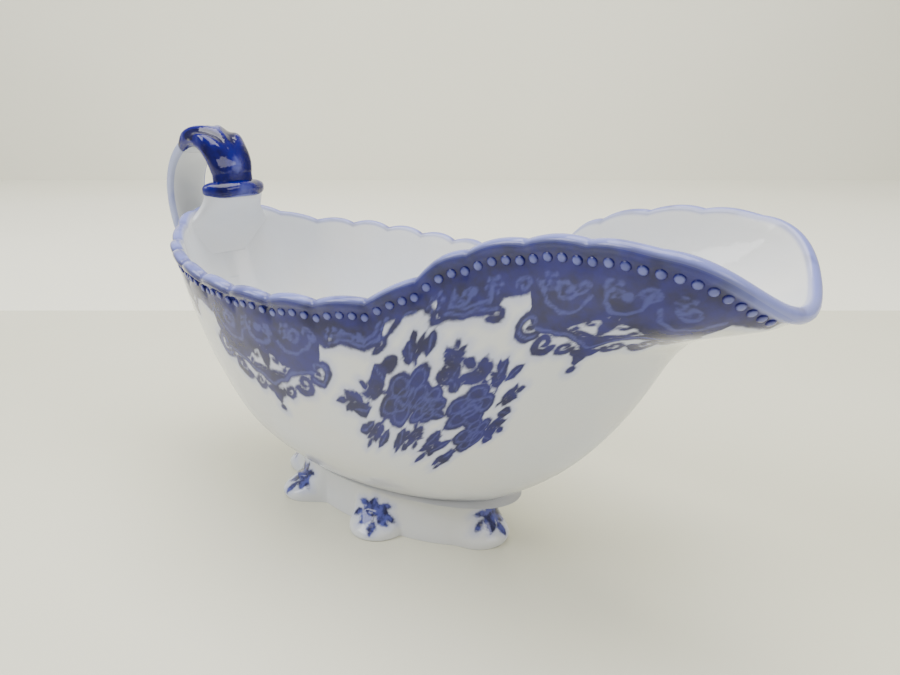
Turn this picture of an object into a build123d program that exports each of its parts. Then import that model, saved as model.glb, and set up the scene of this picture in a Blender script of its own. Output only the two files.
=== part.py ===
from build123d import *
from build123d import SkipClean
import os

os.makedirs("parts", exist_ok=True)

# A footed earthenware gravy boat, in millimetres.
# +X points at the pouring lip, +Z is up, and the origin is the middle of the foot on the table.

# ---- driving dimensions ----
JUNCTION_Z = 12.0       # height where the bowl sits on the foot
FLOOR_Z = 18.5          # inside floor of the bowl
CUT_TOP = 106.0         # blocks that trim the rim reach this high, this low and this far out
CUT_LOW = 62.0
CUT_FRONT = 140.0
CUT_SIDE = 70.0

FOOT_TOP = (37.0, 16.4)     # half length and half width of the foot's waist
FOOT_BASE = (37.6, 16.6)    # the same at the table, between the lobes
FOOT_EDGE = 2.0             # upright edge round the bottom of the foot
FOOT_WALL = 4.2
FOOT_RECESS = 7.0           # depth of the hollow underneath
LOBE_LEAN = 0.86            # a lobe's top stands this much nearer the middle than its base
# x, y, top radius and base radius of each lobe; the side lobes are repeated on the far side
END_LOBES = [(33.2, 0.0, 5.0, 8.6), (-36.4, 0.0, 5.0, 8.4)]
SIDE_LOBES = [(8.5, -15.6, 4.4, 8.0), (-23.5, -13.6, 4.4, 8.0)]

SECTIONS_AT = (-40.0, 0.0, 45.0, 85.0)

SCALLOPS = 15           # shallow scallops along each side of the rim
SCALLOP_RISE = 1.3

BEAD_DROP = 3.9         # beads run this far under the rim
BEAD_RADIUS = 1.25
BEAD_PITCH = 3.3
BEAD_SLIP = 0.08        # film of slip under each bead
BEADS_START = -77.0     # the rows run from beside the neck
BEADS_END = 108.0       # to just behind the tip of the lip

STRAP_WIDTH = 13.0
STRAP_THICK = 5.2
LEAF_WIDTH = 15.0
LEAF_THICK = 6.0
RIB_RADIUS = 1.5
RIB_SINK = 0.3          # the middle of each rib lies this far under the leaf's face

COLLAR_CENTRE = (-69.8, 90.0)
COLLAR_HALF_WIDTH = 12.0
COLLAR_HALF_DEPTH = 6.4
COLLAR_THICK = 5.6


# ---- bowl with its pouring lip: one casting ----
# Each level of the bowl is a pear-shaped closed outline, narrow towards the lip.
# height, rear end, half width, channel x and half width, lip x and half width, front end
OUTSIDE = [
    (12.0, -37.0, 16.6, 20.0, 13.4, 30.5, 7.8, 37.0),
    (18.5, -47.0, 23.2, 28.0, 17.4, 40.5, 9.8, 47.0),
    (25.0, -56.5, 28.5, 34.0, 20.2, 48.5, 10.8, 55.8),
    (35.0, -66.0, 33.0, 42.0, 21.8, 58.0, 11.2, 66.0),
    (47.0, -73.0, 37.0, 49.0, 23.0, 67.0, 11.4, 75.0),
    (58.0, -77.2, 40.0, 54.0, 24.2, 74.5, 12.0, 81.3),
    (66.5, -79.5, 42.0, 57.0, 25.4, 80.5, 13.6, 87.0),
    (71.0, -80.6, 43.0, 58.5, 26.2, 86.0, 16.0, 94.5),
    (74.5, -81.4, 43.7, 59.5, 27.0, 91.5, 18.8, 105.5),
    (79.5, -82.4, 44.3, 60.5, 27.8, 97.0, 21.6, 112.5),
    (86.5, -83.7, 45.2, 61.0, 28.8, 101.5, 23.8, 115.8),
    (95.0, -85.0, 46.2, 62.0, 30.0, 104.5, 25.4, 118.0),
]
OPEN_TOP = (102.0, -85.8, 47.0, 63.0, 31.0, 107.5, 26.8, 120.0)
# height, then how far the inside stands in at the rear, sides and front
INSIDE = [
    (18.5, 12.0, 10.0, 12.5),
    (25.0, 8.5, 8.6, 9.5),
    (35.0, 6.0, 6.2, 6.6),
    (47.0, 5.0, 5.0, 5.4),
    (58.0, 4.4, 4.4, 4.8),
    (66.5, 4.0, 4.2, 4.6),
    (71.0, 4.0, 4.0, 7.6),
    (74.5, 4.0, 4.0, 12.0),
    (79.5, 4.0, 4.0, 7.5),
    (86.5, 4.0, 4.0, 4.4),
    (95.0, 4.0, 4.0, 4.0),
    (102.0, 4.0, 4.0, 4.0),
]


def outline(height, rear, half_width, channel_x, channel_w, lip_x, lip_w, front):
    """Closed pear-shaped outline of the bowl at one height."""
    widest_x = 2.0 + 0.08 * height
    side = [
        ((rear + (widest_x - rear) * 0.28), half_width * 0.72),
        (widest_x, half_width),
        (channel_x, channel_w),
        (lip_x, lip_w),
    ]
    near = [Vector(x, -y, height) for x, y in side]
    far = [Vector(x, y, height) for x, y in reversed(side)]
    ring = [Vector(rear, 0, height)] + near + [Vector(front, 0, height)] + far
    return Wire([Edge.make_spline(ring, periodic=True)])


def inner_outline(level, inset):
    """The matching outline of the bowl's inside face."""
    height, rear, half_width, channel_x, channel_w, lip_x, lip_w, front = level
    _, at_rear, at_side, at_front = inset
    return outline(
        height,
        rear + at_rear,
        half_width - at_side,
        channel_x - 0.4 * at_side,
        channel_w - 0.9 * at_side,
        lip_x - at_front,
        lip_w - 0.8 * at_side,
        front - at_front,
    )


outer = Solid.make_loft([outline(*level) for level in OUTSIDE])
inner_levels = [level for level in OUTSIDE if level[0] >= FLOOR_Z] + [OPEN_TOP]
inner = Solid.make_loft([inner_outline(a, b) for a, b in zip(inner_levels, INSIDE)])

# The rim dips along the sides, climbs to the lip, and turns down at the lip's tip.
rim_line = Spline(
    (-90.0, 0, 84.0),
    (-77.5, 0, 82.5),
    (-66.0, 0, 78.8),
    (-52.0, 0, 77.4),
    (-36.0, 0, 76.0),
    (-18.0, 0, 74.2),
    (2.0, 0, 73.4),
    (18.0, 0, 73.9),
    (30.0, 0, 75.8),
    (38.0, 0, 79.8),
    (46.0, 0, 85.2),
    (58.0, 0, 89.8),
    (74.0, 0, 92.4),
    (92.0, 0, 92.0),
    (105.0, 0, 87.0),
    (113.6, 0, 76.0),
)


def scalloped(line, count, rise):
    """Turn a smooth rim line into a chain of shallow upward arcs."""
    chain = []
    for k in range(count):
        start = line.position_at(k / count)
        end = line.position_at((k + 1) / count)
        across = (end - start).normalized()
        crown = line.position_at((k + 0.5) / count) + Vector(-across.Z, 0, across.X) * rise
        chain.append(Edge.make_three_point_arc(start, crown, end))
    return chain


def above_rim(line):
    """Everything over the rim and ahead of the lip, to be cut away."""
    start = line[0].position_at(0)
    end = line[-1].position_at(1)
    frame = [
        Edge.make_line(end, (end.X, 0, CUT_LOW)),
        Edge.make_line((end.X, 0, CUT_LOW), (CUT_FRONT, 0, CUT_LOW)),
        Edge.make_line((CUT_FRONT, 0, CUT_LOW), (CUT_FRONT, 0, CUT_TOP)),
        Edge.make_line((CUT_FRONT, 0, CUT_TOP), (start.X, 0, CUT_TOP)),
        Edge.make_line((start.X, 0, CUT_TOP), start),
    ]
    return extrude(Face(Wire(line + frame)), amount=CUT_SIDE, dir=(0, 1, 0), both=True)


bowl = outer - inner - above_rim(scalloped(rim_line, SCALLOPS, SCALLOP_RISE))


# ---- foot: a low oval skirt with a lobe at each end and two on each side, hollow underneath ----
def lobe(x, y, top_radius, base_radius):
    """A flared lobe, leaning in to the waist of the foot."""
    top = Pos(x * LOBE_LEAN, y * LOBE_LEAN, JUNCTION_Z - FOOT_EDGE) * Circle(top_radius)
    base = Pos(x, y, FOOT_EDGE) * Circle(base_radius)
    edge = extrude(Pos(x, y, 0) * Circle(base_radius), amount=FOOT_EDGE)
    return loft([base, top]) + edge


waist = Pos(0, 0, JUNCTION_Z) * Ellipse(*FOOT_TOP)
flare = Pos(0, 0, FOOT_EDGE) * Ellipse(*FOOT_BASE)
foot = loft([flare, waist]) + extrude(Ellipse(*FOOT_BASE), amount=FOOT_EDGE)
recess = Ellipse(FOOT_BASE[0] - FOOT_WALL, FOOT_BASE[1] - FOOT_WALL)
far_lobes = [(x, -y, top, base) for x, y, top, base in SIDE_LOBES]
for x, y, top_radius, base_radius in END_LOBES + SIDE_LOBES + far_lobes:
    foot += lobe(x, y, top_radius, base_radius)
    recess += Pos(x, y) * Circle(base_radius - FOOT_WALL)
foot -= extrude(recess, amount=FOOT_RECESS)
export_step(foot, "parts/foot.step")


# ---- handle: one flat band bent into a loop, plain at the back and leaf-moulded in front ----
handle_line = Spline(
    (-75.8, 0, 57.0),
    (-85.5, 0, 60.2),
    (-92.6, 0, 68.0),
    (-97.4, 0, 78.0),
    (-98.6, 0, 88.5),
    (-95.4, 0, 97.2),
    (-89.0, 0, 103.2),
    (-81.5, 0, 106.0),
    (-74.8, 0, 103.6),
    (-70.8, 0, 98.0),
    (-69.8, 0, 91.0),
)
JOIN = 0.70             # where the plain strap meets the leaf moulding


def band(line, width, thick):
    """A rounded flat band swept along a line."""
    start = Plane(line.position_at(0), x_dir=(0, 1, 0), z_dir=line.tangent_at(0))
    section = start * RectangleRounded(width, thick, thick * 0.42)
    return sweep(section, path=line)


strap_line = handle_line.trim(0.0, JOIN)
leaf_line = handle_line.trim(JOIN, 1.0)
strap = band(strap_line, STRAP_WIDTH, STRAP_THICK)
export_step(strap, "parts/handle_strap.step")

# The strap's lower end is let into a shallow seat in the rear wall.
bowl -= strap

# The casting's skin is divided into sections, down its middle and along its length.
sections = bowl.solids()
for plane in [Plane.XZ] + [Plane.YZ.offset(x) for x in SECTIONS_AT]:
    halves = [split(piece, bisect_by=plane, keep=Keep.BOTH) for piece in sections]
    sections = [solid for half in halves for solid in half.solids()]
with SkipClean():
    sectioned_bowl = sections[0].fuse(*sections[1:])
export_step(sectioned_bowl, "parts/bowl.step")

# The leaf moulding has a raised midrib and a rib along each edge, all running down its front.
leaf = band(leaf_line, LEAF_WIDTH, LEAF_THICK)
start_tangent = leaf_line.tangent_at(0)
outward = Vector(-start_tangent.Z, 0, start_tangent.X)
crest = leaf_line.position_at(0) + outward * (LEAF_THICK * 0.5 - RIB_SINK)
for offset_y in (-LEAF_WIDTH * 0.36, 0, LEAF_WIDTH * 0.36):
    rib_start = Plane(crest + Vector(0, offset_y, 0), x_dir=(0, 1, 0), z_dir=start_tangent)
    leaf += sweep(rib_start * Circle(RIB_RADIUS), path=leaf_line)


# ---- collar: a thick oval ring of moulded leaves under the handle's front leg ----
collar_base = COLLAR_CENTRE[1] - COLLAR_THICK / 2
collar_plate = extrude(
    Pos(COLLAR_CENTRE[0], 0, collar_base) * Ellipse(COLLAR_HALF_DEPTH, COLLAR_HALF_WIDTH),
    amount=COLLAR_THICK,
)
collar = fillet(collar_plate.edges(), COLLAR_THICK * 0.45)
leaf -= collar
export_step(leaf, "parts/handle_leaf.step")
export_step(collar, "parts/handle_collar.step")


# ---- neck: short flared stem standing on the rear of the rim, under the collar ----
neck_top = Pos(COLLAR_CENTRE[0], 0, COLLAR_CENTRE[1]) * Ellipse(4.2, 10.2)
neck_low = Pos(-72.6, 0, 82.5) * Ellipse(4.8, 11.6)
neck_root = Pos(-77.0, 0, 74.0) * Ellipse(3.4, 12.2)
neck = loft([neck_root, neck_low, neck_top]) - collar - bowl
neck = neck.solids().sort_by(SortBy.VOLUME)[-1]
export_step(neck, "parts/handle_neck.step")


# ---- beads: a row of half-round beads pressed on each side, just under the rim ----
bead_line = rim_line.moved(Location((0, -60, -BEAD_DROP)))
bead_sheet = Face.extrude(bead_line, (0, 120, 0))
bead_path = (bead_sheet & outer).faces()[0].outer_wire()
bead_count = int(bead_path.length / BEAD_PITCH)
wall_face = outer.faces().sort_by(SortBy.AREA)[-1]
dome = Sphere(BEAD_RADIUS, 0, 90, align=(Align.CENTER, Align.CENTER, Align.MIN))


def bead_at(share):
    """A bead seated on the wall, a share of the way round from the rear."""
    spot = bead_path.position_at(share)
    outward = wall_face.normal_at(spot)
    return (Plane(spot + outward * BEAD_SLIP, z_dir=outward) * dome).solid()


near_row = []
far_row = []
for k in range(1, bead_count // 2):
    share = k / bead_count
    if BEADS_START < bead_path.position_at(share).X < BEADS_END:
        near_row.append(bead_at(share))
        far_row.append(bead_at(1 - share))
if bead_path.position_at(0.25).Y > 0:
    near_row, far_row = far_row, near_row
export_step(Compound(near_row), "parts/beads_near.step")
export_step(Compound(far_row), "parts/beads_far.step")
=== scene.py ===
import math

import bmesh
import bpy
import numpy as np
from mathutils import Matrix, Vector


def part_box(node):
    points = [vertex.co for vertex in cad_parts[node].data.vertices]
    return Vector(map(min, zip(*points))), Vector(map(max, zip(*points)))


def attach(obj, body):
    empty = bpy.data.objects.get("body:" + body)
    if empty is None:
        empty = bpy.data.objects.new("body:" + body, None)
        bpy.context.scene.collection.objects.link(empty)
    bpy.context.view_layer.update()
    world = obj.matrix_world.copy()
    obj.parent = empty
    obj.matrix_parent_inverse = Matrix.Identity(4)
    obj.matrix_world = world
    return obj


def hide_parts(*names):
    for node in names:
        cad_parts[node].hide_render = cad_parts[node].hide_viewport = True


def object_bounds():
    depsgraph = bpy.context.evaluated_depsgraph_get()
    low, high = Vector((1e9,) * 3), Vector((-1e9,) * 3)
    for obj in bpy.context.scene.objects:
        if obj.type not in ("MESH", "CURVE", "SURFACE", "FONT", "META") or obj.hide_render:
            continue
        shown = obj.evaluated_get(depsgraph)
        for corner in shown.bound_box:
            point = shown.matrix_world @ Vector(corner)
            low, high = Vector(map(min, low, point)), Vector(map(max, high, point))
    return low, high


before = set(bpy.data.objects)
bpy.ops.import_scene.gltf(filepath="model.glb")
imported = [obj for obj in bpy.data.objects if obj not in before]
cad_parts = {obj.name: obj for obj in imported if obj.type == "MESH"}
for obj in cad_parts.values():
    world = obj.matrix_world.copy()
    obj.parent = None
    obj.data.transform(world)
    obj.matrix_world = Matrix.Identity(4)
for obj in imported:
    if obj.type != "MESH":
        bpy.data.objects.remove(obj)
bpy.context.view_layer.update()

MM = 0.001

# ---------------------------------------------------------------------------------------------
# Bowl. One casting of white earthenware: a deep boat that narrows to a long pouring lip, with a
# rolled, scalloped rim. It is printed under the glaze with a cobalt border and a rose spray, and
# the cobalt has bled into the glaze all round the print.
WALL_LEVELS = np.array([
    # height, rear end, half width, channel x, channel w, lip x, lip w, front end
    (12.0, -37.0, 16.6, 20.0, 13.4, 30.5, 7.8, 37.0),
    (18.5, -47.0, 23.2, 28.0, 17.4, 40.5, 9.8, 47.0),
    (25.0, -56.5, 28.5, 34.0, 20.2, 48.5, 10.8, 55.8),
    (35.0, -66.0, 33.0, 42.0, 21.8, 58.0, 11.2, 66.0),
    (47.0, -73.0, 37.0, 49.0, 23.0, 67.0, 11.4, 75.0),
    (58.0, -77.2, 40.0, 54.0, 24.2, 74.5, 12.0, 81.3),
    (66.5, -79.5, 42.0, 57.0, 25.4, 80.5, 13.6, 87.0),
    (71.0, -80.6, 43.0, 58.5, 26.2, 86.0, 16.0, 94.5),
    (74.5, -81.4, 43.7, 59.5, 27.0, 91.5, 18.8, 105.5),
    (79.5, -82.4, 44.3, 60.5, 27.8, 97.0, 21.6, 112.5),
    (86.5, -83.7, 45.2, 61.0, 28.8, 101.5, 23.8, 115.8),
    (95.0, -85.0, 46.2, 62.0, 30.0, 104.5, 25.4, 118.0),
])
RIM_HEIGHTS = np.array([
    (-90.0, 84.0), (-77.5, 82.5), (-66.0, 78.8), (-52.0, 77.4), (-36.0, 76.0), (-18.0, 74.2),
    (2.0, 73.4), (18.0, 73.9), (30.0, 75.8), (38.0, 79.8), (46.0, 85.2), (58.0, 89.8),
    (74.0, 92.4), (92.0, 91.8), (105.0, 86.2), (114.4, 73.6),
])
WALL_BOTTOM = 12.0          # the bowl sits on the foot at this height
WALL_TOP = 95.0
HEIGHT_STEPS = 150          # levels at which the wall's outline is worked out
SHARE_STEPS = 1601          # places round the rim, before the columns are spaced out
LINE_STEPS = 220            # points down a column, before the rows are spaced out
ROUND = 640                 # columns of the mesh, all the way round the rim
PRINT_DEPTH = 58.0          # the print reaches this far down the wall, in mm
PRINT_SHARE = 0.86          # and never past this share of the wall's length
PRINT_ROWS = 92
LOWER_ROWS = 13
RIM_ROWS = 9
INNER_ROWS = 22
RIM_WALL = 2.7              # thickness at the rim
BASE_WALL = 5.0             # thickness at the bottom
RIM_ROUND = 1.3             # height of the rim's rounded edge
THICKEN_DROP = 30.0         # the wall is half way to its bottom thickness here
FLOOR_DISH = 0.8            # how far the middle of the floor lies below its edge
SCALLOP_PITCH = 13.6
SCALLOP_RISE = 1.5
SCALLOP_START = 44.0        # reach at which the scallops come in, behind the lip's tip
SCALLOP_FULL = 90.0
SCALLOP_EASE = 205.0        # reach at which they ease off, towards the handle
PINCH_WIDTH = 2.2
PINCH_DEPTH = 0.42
ROLL_OUT = 0.7              # how far the rolled rim stands out, and the gutter under it lies in
GUTTER_IN = 0.3
FAR_OFF = 99.0              # a distance that no mark reaches
NO_INK = 9.0                # distance from the print's edge where nothing is printed


def smooth_curve(knots, values, where, closed=False):
    """A smooth curve through the values at the knots, read off at each place asked for."""
    gap = np.diff(knots)
    count = len(knots) - 1 if closed else len(knots)
    table = np.eye(count)
    bend = np.zeros((count,) + values.shape[1:])
    for i in range(0 if closed else 1, count if closed else count - 1):
        before, after = gap[i - 1], gap[i]
        last = values[count - 1] if i == 0 else values[i - 1]
        table[i] = 0
        table[i, i - 1] += before
        table[i, i] += 2 * (before + after)
        table[i, (i + 1) % count] += after
        bend[i] = 6 * ((values[i + 1] - values[i]) / after - (values[i] - last) / before)
    curve = np.linalg.solve(table, bend)
    if closed:
        curve = np.concatenate([curve, curve[:1]])
    k = np.clip(np.searchsorted(knots, where, side="right") - 1, 0, len(knots) - 2)
    spread = (...,) + (None,) * (values.ndim - 1)
    past, left, span = (where - knots[k])[spread], (knots[k + 1] - where)[spread], gap[k][spread]
    return (
        curve[k] * left ** 3 / (6 * span)
        + curve[k + 1] * past ** 3 / (6 * span)
        + (values[k] / span - curve[k] * span / 6) * left
        + (values[k + 1] / span - curve[k + 1] * span / 6) * past
    )


def wall_outlines(heights, shares):
    """Points of the wall's outside, one closed outline for each height, in mm."""
    rows = smooth_curve(WALL_LEVELS[:, 0], WALL_LEVELS[:, 1:], heights)
    outlines = np.zeros((len(heights), len(shares), 2))
    for n, (height, row) in enumerate(zip(heights, rows)):
        rear, half, channel_x, channel_w, lip_x, lip_w, front = row
        widest = 2.0 + 0.08 * height
        side = [(rear + (widest - rear) * 0.28, half * 0.72), (widest, half),
                (channel_x, channel_w), (lip_x, lip_w)]
        ring = np.array([(rear, 0.0)] + [(x, -y) for x, y in side] + [(front, 0.0)]
                        + side[::-1] + [(rear, 0.0)])
        chord = np.r_[0, np.cumsum(np.hypot(*np.diff(ring, axis=0).T))]
        places = np.interp(shares, np.arange(11) / 10, chord)
        outlines[n] = smooth_curve(chord, ring, places, closed=True)
    return outlines


def step(edge, value):
    """0 below -edge, 1 above edge, smooth between."""
    t = np.clip(value / (2 * edge) + 0.5, 0, 1)
    return t * t * (3 - 2 * t)


def rim_line(shares, outlines, heights, lift):
    """Where the wall meets the rim's height, for each share of the way round."""
    x = outlines[..., 0]
    known = np.clip(x, RIM_HEIGHTS[0, 0], RIM_HEIGHTS[-1, 0])
    rim = smooth_curve(RIM_HEIGHTS[:, 0], RIM_HEIGHTS[:, 1], known)
    rim = np.where(x > RIM_HEIGHTS[-1, 0], rim - 12 * (x - RIM_HEIGHTS[-1, 0]), rim)
    over = heights[:, None] - rim - lift[None, :]
    crossing = np.argmax(over > 0, axis=0)
    crossing = np.maximum(crossing, 1)
    column = np.arange(len(shares))
    low, high = over[crossing - 1, column], over[crossing, column]
    part = np.clip(-low / (high - low), 0, 1)
    return heights[crossing - 1] + part * (heights[crossing] - heights[crossing - 1])


def on_wall(outlines, heights, column, z):
    """Points of the wall in one column, at the heights asked for."""
    x = np.interp(z, heights, outlines[:, column, 0])
    y = np.interp(z, heights, outlines[:, column, 1])
    return np.stack([x, y, z], axis=-1)


def along(points):
    """Running length along a line of points."""
    return np.r_[0, np.cumsum(np.linalg.norm(np.diff(points, axis=0), axis=1))]


heights = np.linspace(WALL_BOTTOM, WALL_TOP, HEIGHT_STEPS)
shares = np.linspace(0, 1, SHARE_STEPS)
coarse = wall_outlines(heights, shares)
z_rim = rim_line(shares, coarse, heights, np.zeros(len(shares)))
coarse_rim = np.array([
    on_wall(coarse, heights, m, np.array([z]))[0] for m, z in enumerate(z_rim)
])
rim_length = along(coarse_rim)
half_rim = rim_length[-1] / 2

# Columns stand at equal steps along the rim, from the rear round the near side.
rim_steps = np.linspace(0, rim_length[-1], ROUND + 1)
shares = np.interp(rim_steps, rim_length, shares)
reach = np.abs(rim_steps - half_rim)            # length of rim from the lip's tip, in mm

# The scallops come in behind the lip and ease off again towards the handle.
phase = (reach / SCALLOP_PITCH) % 1.0
arch = 1 - np.abs(2 * phase - 1) ** 2.0
fade = step(14.0, reach - SCALLOP_START) * (0.55 + 0.45 * step(30.0, reach - SCALLOP_FULL))
fade *= 1 - 0.55 * step(18.0, reach - SCALLOP_EASE)
pinch = np.exp(-((np.minimum(phase, 1 - phase) * SCALLOP_PITCH / PINCH_WIDTH) ** 2)) * fade
lift = (arch - 0.6) * SCALLOP_RISE * fade
outlines = wall_outlines(heights, shares)
z_rim = rim_line(shares, outlines, heights, lift)

print_drops = np.linspace(0, PRINT_DEPTH, PRINT_ROWS + 1)
lower_share = np.linspace(0, 1, LOWER_ROWS + 1)[1:]
outer_rows = PRINT_ROWS + 1 + LOWER_ROWS
wall = np.zeros((outer_rows, ROUND + 1, 3))
drops = np.zeros((outer_rows, ROUND + 1))
for m in range(ROUND + 1):
    line = on_wall(outlines, heights, m, np.linspace(z_rim[m], WALL_BOTTOM, LINE_STEPS))
    length = along(line)
    start = RIM_ROUND
    depth = min(PRINT_DEPTH, length[-1] * PRINT_SHARE - start)
    drop = np.r_[start + print_drops * depth / PRINT_DEPTH,
                 start + depth + lower_share * (length[-1] - start - depth)]
    wall[:, m] = np.stack([np.interp(drop, length, line[:, a]) for a in range(3)], axis=-1)
    drops[:, m] = drop


def outward(points):
    """Unit normals of a grid of points, pointing out of the bowl."""
    down = np.gradient(points, axis=0)
    wrapped = np.concatenate([points[:, -3:-1], points, points[:, 1:3]], axis=1)
    round_it = np.gradient(wrapped, axis=1)[:, 2:-2]
    normal = np.cross(down, round_it)
    normal /= np.maximum(np.linalg.norm(normal, axis=-1, keepdims=True), 1e-9)
    away = points[..., :2] - np.array([20.0, 0.0])
    if (normal[8, :, :2] * away[8]).sum() < 0:
        normal = -normal
    return normal


normals = outward(wall)
up = wall[:1] - wall[1:2]
up /= np.linalg.norm(up, axis=-1, keepdims=True)

# The rim is rolled outwards, with a shallow gutter under the roll, and pinched at each scallop.
roll = (ROLL_OUT * np.exp(-((drops - 1.7) / 1.1) ** 2)
        - GUTTER_IN * np.exp(-((drops - 4.4) / 1.8) ** 2))
roll -= (PINCH_DEPTH * pinch)[None, :] * np.exp(-((drops - 2.6) / 2.6) ** 2)
roll += 0.5 * (arch - 0.5)[None, :] * fade[None, :] * np.exp(-(drops / 5.0) ** 2)
outside = wall + normals * roll[..., None]

thick = RIM_WALL + (BASE_WALL - RIM_WALL) * step(22.0, drops - THICKEN_DROP)
inner_pick = np.linspace(0, outer_rows - 7, INNER_ROWS + 1).astype(int)
inside = (wall - normals * thick[..., None])[inner_pick]
inside += normals[inner_pick] * (0.35 * (arch - 0.5) * fade)[None, :, None] \
    * np.exp(-(drops[inner_pick] / 6.0) ** 2)[..., None]

crown_angles = np.linspace(0, math.pi, RIM_ROWS + 2)[1:-1]
outer_edge, inner_edge = outside[0], inside[0]
middle, spread = (outer_edge + inner_edge) / 2, (outer_edge - inner_edge) / 2
crown = np.array([
    middle + spread * math.cos(a) + up[0] * (RIM_ROUND * math.sin(a) ** 0.85)
    for a in crown_angles
])

floor_edge = inside[-1]
floor_height = floor_edge[:, 2].mean() - FLOOR_DISH
floor_rings = []
for k in (0.84, 0.66, 0.46, 0.25, 0.0):
    ring = floor_edge * np.array([k, k, 1.0])
    ring[:, 2] = floor_height + (floor_edge[:, 2] - floor_height) * k ** 2
    floor_rings.append(ring)
sole_edge = outside[-1]
sole_rings = [sole_edge * np.array([k, k, 1.0]) for k in (0.6, 0.0)]

shell = np.concatenate([
    np.array(sole_rings[::-1]), outside[::-1], crown, inside, np.array(floor_rings),
])
row_drop = np.concatenate([
    np.full((2, ROUND + 1), FAR_OFF), drops[::-1],
    # the crown's rows run from the outer side to the inside, so the roll's top takes the pale
    # painted highlight
    np.repeat(np.linspace(1.2, -1.2, RIM_ROWS)[:, None], ROUND + 1, axis=1),
    -drops[inner_pick], np.full((5, ROUND + 1), -FAR_OFF),
])


# The print is drawn flat on (reach, drop), in mm: how far from the lip's tip round the rim, and
# how far down the wall. Each mark gives the distance to its edge, less than 0 inside it.
def disc(x, y, cx, cy, r):
    return np.hypot(x - cx, y - cy) - r


def leaf(x, y, cx, cy, length, width, degrees):
    """A pointed leaf with its stalk at (cx, cy), growing the way the angle says."""
    c, s = math.cos(math.radians(degrees)), math.sin(math.radians(degrees))
    a = ((x - cx) * c + (y - cy) * s) / (length / 2) - 1
    b = np.abs((y - cy) * c - (x - cx) * s)
    body = b - width / 2 * (1 - a * a)
    return np.where(np.abs(a) < 1, body, np.hypot((np.abs(a) - 1) * length / 2, b))


def stroke(x, y, points, thin, thick_end=None):
    """A brushed line through points, from one half width to another."""
    best = np.full(x.shape, FAR_OFF)
    thick_end = thin if thick_end is None else thick_end
    for n, ((ax, ay), (bx, by)) in enumerate(zip(points, points[1:])):
        dx, dy = bx - ax, by - ay
        t = np.clip(((x - ax) * dx + (y - ay) * dy) / (dx * dx + dy * dy), 0, 1)
        width = thin + (thick_end - thin) * (n + t) / (len(points) - 1)
        best = np.minimum(best, np.hypot(x - ax - t * dx, y - ay - t * dy) - width)
    return best


def volute(cx, cy, r, start, turns, hand):
    """Points of a curl that winds in to its eye."""
    points = []
    for k in range(int(14 * turns) + 1):
        share = k / (14 * turns)
        a = math.radians(start) + hand * share * turns * 2 * math.pi
        size = r * (1 - 0.8 * share)
        points.append((cx + size * math.cos(a), cy + size * math.sin(a)))
    return points


def union(*marks):
    return np.minimum.reduce(marks)


def under(x, y, points):
    """The area above a lower edge, given as (reach, drop) points."""
    points = sorted(points)
    edge = np.interp(x, [p[0] for p in points], [p[1] for p in points])
    ends = np.maximum(points[0][0] - x, x - points[-1][0])
    return np.maximum((y - edge) * 0.8, ends)


PANEL_TOP = 7.0             # a panel keeps this drop whatever its scale


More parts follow.
